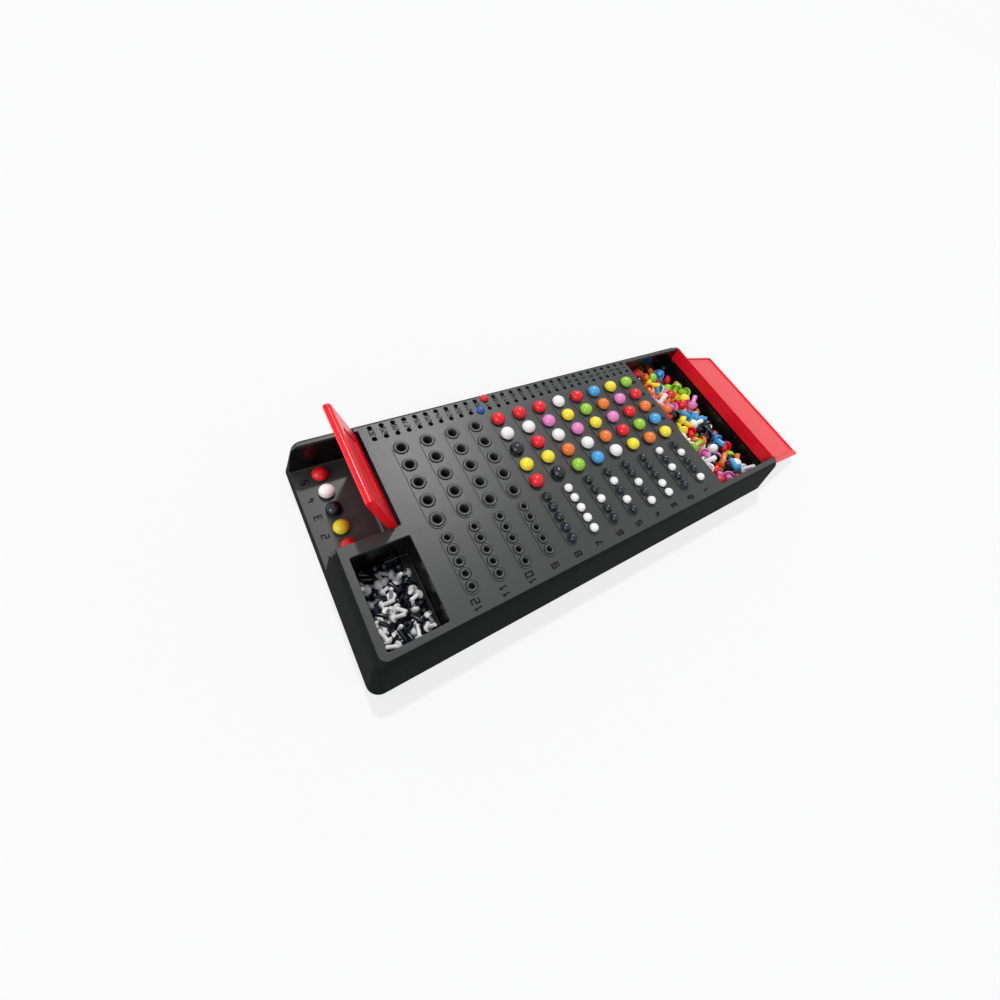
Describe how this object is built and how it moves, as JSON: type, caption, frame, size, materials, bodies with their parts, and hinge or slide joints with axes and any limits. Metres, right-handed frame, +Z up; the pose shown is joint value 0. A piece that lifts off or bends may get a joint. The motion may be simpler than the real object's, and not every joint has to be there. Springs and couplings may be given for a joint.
{
  "type": "code breaking peg game",
  "caption": "Long board of peg sockets for a code guessing game, with a hinged code shield, a flip-open peg store, a key peg tray, score tracks and coloured code pegs.",
  "frame": {"origin": "middle of the board's flat underside", "axes": "+X runs from the code shield's end to the peg store's end, +Y towards the score tracks, +Z up"},
  "size_m": [0.438, 0.1622, 0.069],
  "materials": {
    "board_plastic": "fine moulded grain",
    "cover_plastic": "fine moulded grain",
    "screw_steel": "zinc plated",
    "shield_plastic": "gloss",
    "lid_plastic": "satin gloss",
    "peg_red": "red gloss",
    "peg_green": "green gloss",
    "peg_orange": "orange gloss",
    "peg_blue": "blue gloss",
    "peg_yellow": "yellow gloss",
    "peg_pink": "pink gloss",
    "peg_white": "white gloss",
    "peg_black": "very dark navy gloss",
    "peg_mixed": "eight gloss colours, mixed"
  },
  "bodies": {
    "board": {"game_board": "board_plastic", "base_cover": "cover_plastic", "base_screw_1": "screw_steel", "base_screw_2": "screw_steel", "base_screw_3": "screw_steel", "base_screw_4": "screw_steel", "base_screw_5": "screw_steel", "base_screw_6": "screw_steel", "loose_code_pegs": "peg_mixed"},
    "shield": {"code_shield": "shield_plastic"},
    "lid": {"storage_lid": "lid_plastic"},
    "code_peg_r1_1": {"code_peg_r1_1": "peg_green"},
    "code_peg_r1_2": {"code_peg_r1_2": "peg_red"},
    "code_peg_r1_3": {"code_peg_r1_3": "peg_orange"},
    "code_peg_r1_4": {"code_peg_r1_4": "peg_blue"},
    "code_peg_r1_5": {"code_peg_r1_5": "peg_yellow"},
    "code_peg_r2_1": {"code_peg_r2_1": "peg_yellow"},
    "code_peg_r2_2": {"code_peg_r2_2": "peg_pink"},
    "code_peg_r2_3": {"code_peg_r2_3": "peg_red"},
    "code_peg_r2_4": {"code_peg_r2_4": "peg_green"},
    "code_peg_r2_5": {"code_peg_r2_5": "peg_orange"},
    "code_peg_r3_1": {"code_peg_r3_1": "peg_blue"},
    "code_peg_r3_2": {"code_peg_r3_2": "peg_orange"},
    "code_peg_r3_3": {"code_peg_r3_3": "peg_pink"},
    "code_peg_r3_4": {"code_peg_r3_4": "peg_red"},
    "code_peg_r3_5": {"code_peg_r3_5": "peg_yellow"},
    "code_peg_r4_1": {"code_peg_r4_1": "peg_red"},
    "code_peg_r4_2": {"code_peg_r4_2": "peg_green"},
    "code_peg_r4_3": {"code_peg_r4_3": "peg_yellow"},
    "code_peg_r4_4": {"code_peg_r4_4": "peg_orange"},
    "code_peg_r4_5": {"code_peg_r4_5": "peg_white"},
    "code_peg_r5_1": {"code_peg_r5_1": "peg_white"},
    "code_peg_r5_2": {"code_peg_r5_2": "peg_yellow"},
    "code_peg_r5_3": {"code_peg_r5_3": "peg_pink"},
    "code_peg_r5_4": {"code_peg_r5_4": "peg_white"},
    "code_peg_r5_5": {"code_peg_r5_5": "peg_blue"},
    "code_peg_r6_1": {"code_peg_r6_1": "peg_red"},
    "code_peg_r6_2": {"code_peg_r6_2": "peg_pink"},
    "code_peg_r6_3": {"code_peg_r6_3": "peg_white"},
    "code_peg_r6_4": {"code_peg_r6_4": "peg_orange"},
    "code_peg_r6_5": {"code_peg_r6_5": "peg_green"},
    "code_peg_r7_1": {"code_peg_r7_1": "peg_red"},
    "code_peg_r7_2": {"code_peg_r7_2": "peg_white"},
    "code_peg_r7_3": {"code_peg_r7_3": "peg_red"},
    "code_peg_r7_4": {"code_peg_r7_4": "peg_yellow"},
    "code_peg_r7_5": {"code_peg_r7_5": "peg_black"},
    "code_peg_r8_1": {"code_peg_r8_1": "peg_red"},
    "code_peg_r8_2": {"code_peg_r8_2": "peg_white"},
    "code_peg_r8_3": {"code_peg_r8_3": "peg_black"},
    "code_peg_r8_4": {"code_peg_r8_4": "peg_yellow"},
    "code_peg_r8_5": {"code_peg_r8_5": "peg_red"},
    "secret_code_peg_1": {"secret_code_peg_1": "peg_red"},
    "secret_code_peg_2": {"secret_code_peg_2": "peg_white"},
    "secret_code_peg_3": {"secret_code_peg_3": "peg_black"},
    "secret_code_peg_4": {"secret_code_peg_4": "peg_yellow"},
    "secret_code_peg_5": {"secret_code_peg_5": "peg_red"},
    "score_peg_red": {"score_peg_red": "peg_red"},
    "score_peg_blue": {"score_peg_blue": "peg_blue"}
  },
  "joints": [
    {"name": "shield_hinge", "type": "hinge", "parent": "board", "child": "shield", "pos_m": [-0.14245, 0.032, 0.0308], "axis": [0, -1, 0], "range_deg": [-40, 72]},
    {"name": "lid_hinge", "type": "hinge", "parent": "board", "child": "lid", "pos_m": [0.17665, 0.00077, 0.0294], "axis": [0, -1, 0], "range_deg": [0, 192.5]},
    {"name": "lift_code_peg_r1_1", "type": "slide", "parent": "board", "child": "code_peg_r1_1", "axis": [0, 0, 1], "range_m": [0, 0.012]},
    {"name": "lift_code_peg_r1_2", "type": "slide", "parent": "board", "child": "code_peg_r1_2", "axis": [0, 0, 1], "range_m": [0, 0.012]},
    {"name": "lift_code_peg_r1_3", "type": "slide", "parent": "board", "child": "code_peg_r1_3", "axis": [0, 0, 1], "range_m": [0, 0.012]},
    {"name": "lift_code_peg_r1_4", "type": "slide", "parent": "board", "child": "code_peg_r1_4", "axis": [0, 0, 1], "range_m": [0, 0.012]},
    {"name": "lift_code_peg_r1_5", "type": "slide", "parent": "board", "child": "code_peg_r1_5", "axis": [0, 0, 1], "range_m": [0, 0.012]},
    {"name": "lift_code_peg_r2_1", "type": "slide", "parent": "board", "child": "code_peg_r2_1", "axis": [0, 0, 1], "range_m": [0, 0.012]},
    {"name": "lift_code_peg_r2_2", "type": "slide", "parent": "board", "child": "code_peg_r2_2", "axis": [0, 0, 1], "range_m": [0, 0.012]},
    {"name": "lift_code_peg_r2_3", "type": "slide", "parent": "board", "child": "code_peg_r2_3", "axis": [0, 0, 1], "range_m": [0, 0.012]},
    {"name": "lift_code_peg_r2_4", "type": "slide", "parent": "board", "child": "code_peg_r2_4", "axis": [0, 0, 1], "range_m": [0, 0.012]},
    {"name": "lift_code_peg_r2_5", "type": "slide", "parent": "board", "child": "code_peg_r2_5", "axis": [0, 0, 1], "range_m": [0, 0.012]},
    {"name": "lift_code_peg_r3_1", "type": "slide", "parent": "board", "child": "code_peg_r3_1", "axis": [0, 0, 1], "range_m": [0, 0.012]},
    {"name": "lift_code_peg_r3_2", "type": "slide", "parent": "board", "child": "code_peg_r3_2", "axis": [0, 0, 1], "range_m": [0, 0.012]},
    {"name": "lift_code_peg_r3_3", "type": "slide", "parent": "board", "child": "code_peg_r3_3", "axis": [0, 0, 1], "range_m": [0, 0.012]},
    {"name": "lift_code_peg_r3_4", "type": "slide", "parent": "board", "child": "code_peg_r3_4", "axis": [0, 0, 1], "range_m": [0, 0.012]},
    {"name": "lift_code_peg_r3_5", "type": "slide", "parent": "board", "child": "code_peg_r3_5", "axis": [0, 0, 1], "range_m": [0, 0.012]},
    {"name": "lift_code_peg_r4_1", "type": "slide", "parent": "board", "child": "code_peg_r4_1", "axis": [0, 0, 1], "range_m": [0, 0.012]},
    {"name": "lift_code_peg_r4_2", "type": "slide", "parent": "board", "child": "code_peg_r4_2", "axis": [0, 0, 1], "range_m": [0, 0.012]},
    {"name": "lift_code_peg_r4_3", "type": "slide", "parent": "board", "child": "code_peg_r4_3", "axis": [0, 0, 1], "range_m": [0, 0.012]},
    {"name": "lift_code_peg_r4_4", "type": "slide", "parent": "board", "child": "code_peg_r4_4", "axis": [0, 0, 1], "range_m": [0, 0.012]},
    {"name": "lift_code_peg_r4_5", "type": "slide", "parent": "board", "child": "code_peg_r4_5", "axis": [0, 0, 1], "range_m": [0, 0.012]},
    {"name": "lift_code_peg_r5_1", "type": "slide", "parent": "board", "child": "code_peg_r5_1", "axis": [0, 0, 1], "range_m": [0, 0.012]},
    {"name": "lift_code_peg_r5_2", "type": "slide", "parent": "board", "child": "code_peg_r5_2", "axis": [0, 0, 1], "range_m": [0, 0.012]},
    {"name": "lift_code_peg_r5_3", "type": "slide", "parent": "board", "child": "code_peg_r5_3", "axis": [0, 0, 1], "range_m": [0, 0.012]},
    {"name": "lift_code_peg_r5_4", "type": "slide", "parent": "board", "child": "code_peg_r5_4", "axis": [0, 0, 1], "range_m": [0, 0.012]},
    {"name": "lift_code_peg_r5_5", "type": "slide", "parent": "board", "child": "code_peg_r5_5", "axis": [0, 0, 1], "range_m": [0, 0.012]},
    {"name": "lift_code_peg_r6_1", "type": "slide", "parent": "board", "child": "code_peg_r6_1", "axis": [0, 0, 1], "range_m": [0, 0.012]},
    {"name": "lift_code_peg_r6_2", "type": "slide", "parent": "board", "child": "code_peg_r6_2", "axis": [0, 0, 1], "range_m": [0, 0.012]},
    {"name": "lift_code_peg_r6_3", "type": "slide", "parent": "board", "child": "code_peg_r6_3", "axis": [0, 0, 1], "range_m": [0, 0.012]},
    {"name": "lift_code_peg_r6_4", "type": "slide", "parent": "board", "child": "code_peg_r6_4", "axis": [0, 0, 1], "range_m": [0, 0.012]},
    {"name": "lift_code_peg_r6_5", "type": "slide", "parent": "board", "child": "code_peg_r6_5", "axis": [0, 0, 1], "range_m": [0, 0.012]},
    {"name": "lift_code_peg_r7_1", "type": "slide", "parent": "board", "child": "code_peg_r7_1", "axis": [0, 0, 1], "range_m": [0, 0.012]},
    {"name": "lift_code_peg_r7_2", "type": "slide", "parent": "board", "child": "code_peg_r7_2", "axis": [0, 0, 1], "range_m": [0, 0.012]},
    {"name": "lift_code_peg_r7_3", "type": "slide", "parent": "board", "child": "code_peg_r7_3", "axis": [0, 0, 1], "range_m": [0, 0.012]},
    {"name": "lift_code_peg_r7_4", "type": "slide", "parent": "board", "child": "code_peg_r7_4", "axis": [0, 0, 1], "range_m": [0, 0.012]},
    {"name": "lift_code_peg_r7_5", "type": "slide", "parent": "board", "child": "code_peg_r7_5", "axis": [0, 0, 1], "range_m": [0, 0.012]},
    {"name": "lift_code_peg_r8_1", "type": "slide", "parent": "board", "child": "code_peg_r8_1", "axis": [0, 0, 1], "range_m": [0, 0.012]},
    {"name": "lift_code_peg_r8_2", "type": "slide", "parent": "board", "child": "code_peg_r8_2", "axis": [0, 0, 1], "range_m": [0, 0.012]},
    {"name": "lift_code_peg_r8_3", "type": "slide", "parent": "board", "child": "code_peg_r8_3", "axis": [0, 0, 1], "range_m": [0, 0.012]},
    {"name": "lift_code_peg_r8_4", "type": "slide", "parent": "board", "child": "code_peg_r8_4", "axis": [0, 0, 1], "range_m": [0, 0.012]},
    {"name": "lift_code_peg_r8_5", "type": "slide", "parent": "board", "child": "code_peg_r8_5", "axis": [0, 0, 1], "range_m": [0, 0.012]},
    {"name": "lift_secret_code_peg_1", "type": "slide", "parent": "board", "child": "secret_code_peg_1", "axis": [0, 0, 1], "range_m": [0, 0.012]},
    {"name": "lift_secret_code_peg_2", "type": "slide", "parent": "board", "child": "secret_code_peg_2", "axis": [0, 0, 1], "range_m": [0, 0.012]},
    {"name": "lift_secret_code_peg_3", "type": "slide", "parent": "board", "child": "secret_code_peg_3", "axis": [0, 0, 1], "range_m": [0, 0.012]},
    {"name": "lift_secret_code_peg_4", "type": "slide", "parent": "board", "child": "secret_code_peg_4", "axis": [0, 0, 1], "range_m": [0, 0.012]},
    {"name": "lift_secret_code_peg_5", "type": "slide", "parent": "board", "child": "secret_code_peg_5", "axis": [0, 0, 1], "range_m": [0, 0.012]},
    {"name": "lift_score_peg_red", "type": "slide", "parent": "board", "child": "score_peg_red", "axis": [0, 0, 1], "range_m": [0, 0.012]},
    {"name": "lift_score_peg_blue", "type": "slide", "parent": "board", "child": "score_peg_blue", "axis": [0, 0, 1], "range_m": [0, 0.012]}
  ]
}
